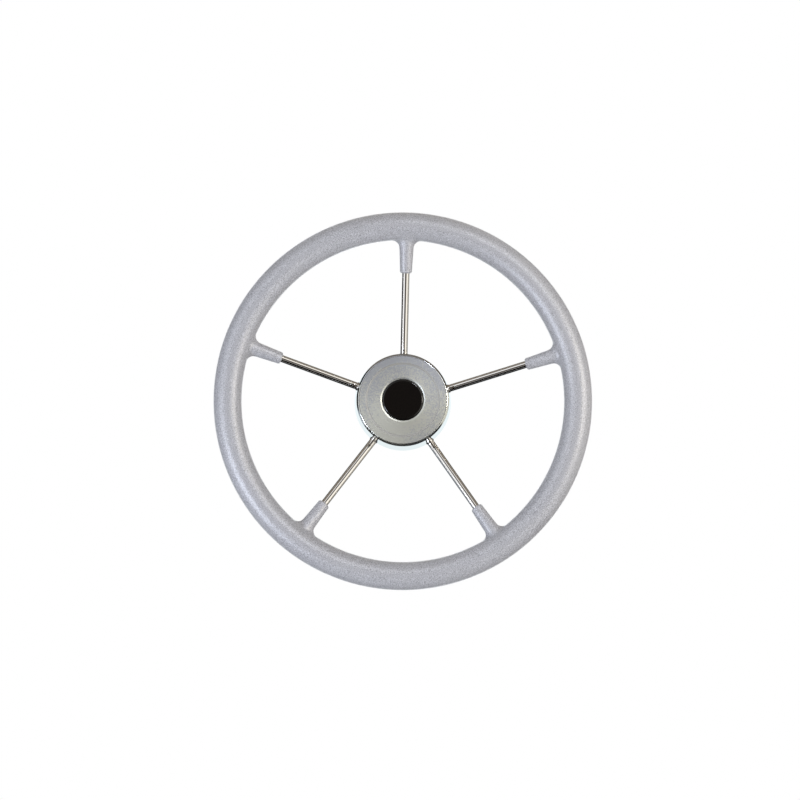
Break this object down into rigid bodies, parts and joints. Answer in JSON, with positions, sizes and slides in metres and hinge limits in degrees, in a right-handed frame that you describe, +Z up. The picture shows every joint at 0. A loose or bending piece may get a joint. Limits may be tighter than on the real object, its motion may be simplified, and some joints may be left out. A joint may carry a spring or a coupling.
{
  "type": "boat steering wheel",
  "caption": "Upright boat steering wheel with a padded round rim, slim leaning spokes and a pull-off centre cap over a keyed taper bore.",
  "frame": {"origin": "centre of the hub's rear face, at the large end of the tapered shaft bore", "axes": "+Y along the shaft, away from the helmsman; +Z up along the first spoke; +X to the helmsman's right"},
  "size_m": [0.36, 0.0518, 0.36],
  "materials": {
    "grip_foam": "moulded foam skin with a fine pebble grain, satin",
    "polished_stainless": "mirror polished",
    "spun_stainless": "fine turned satin rings with a polished edge",
    "turned_stainless": "plain turned",
    "core_steel": "drawn bar, covered",
    "seal_rubber": "moulded",
    "badge_resin": "domed gloss black"
  },
  "bodies": {
    "wheel": {"rim_grip": "grip_foam", "rim_core": "core_steel", "hub_boss": "turned_stainless", "hub_drum": "polished_stainless", "spoke_1": "polished_stainless", "spoke_2": "polished_stainless", "spoke_3": "polished_stainless", "spoke_4": "polished_stainless", "spoke_5": "polished_stainless"},
    "cap": {"hub_cap": "spun_stainless", "cap_seal": "seal_rubber", "badge": "badge_resin"}
  },
  "joints": [
    {"name": "cap_pull", "type": "slide", "parent": "wheel", "child": "cap", "axis": [0, -1, 0], "range_m": [0, 0.05]}
  ]
}
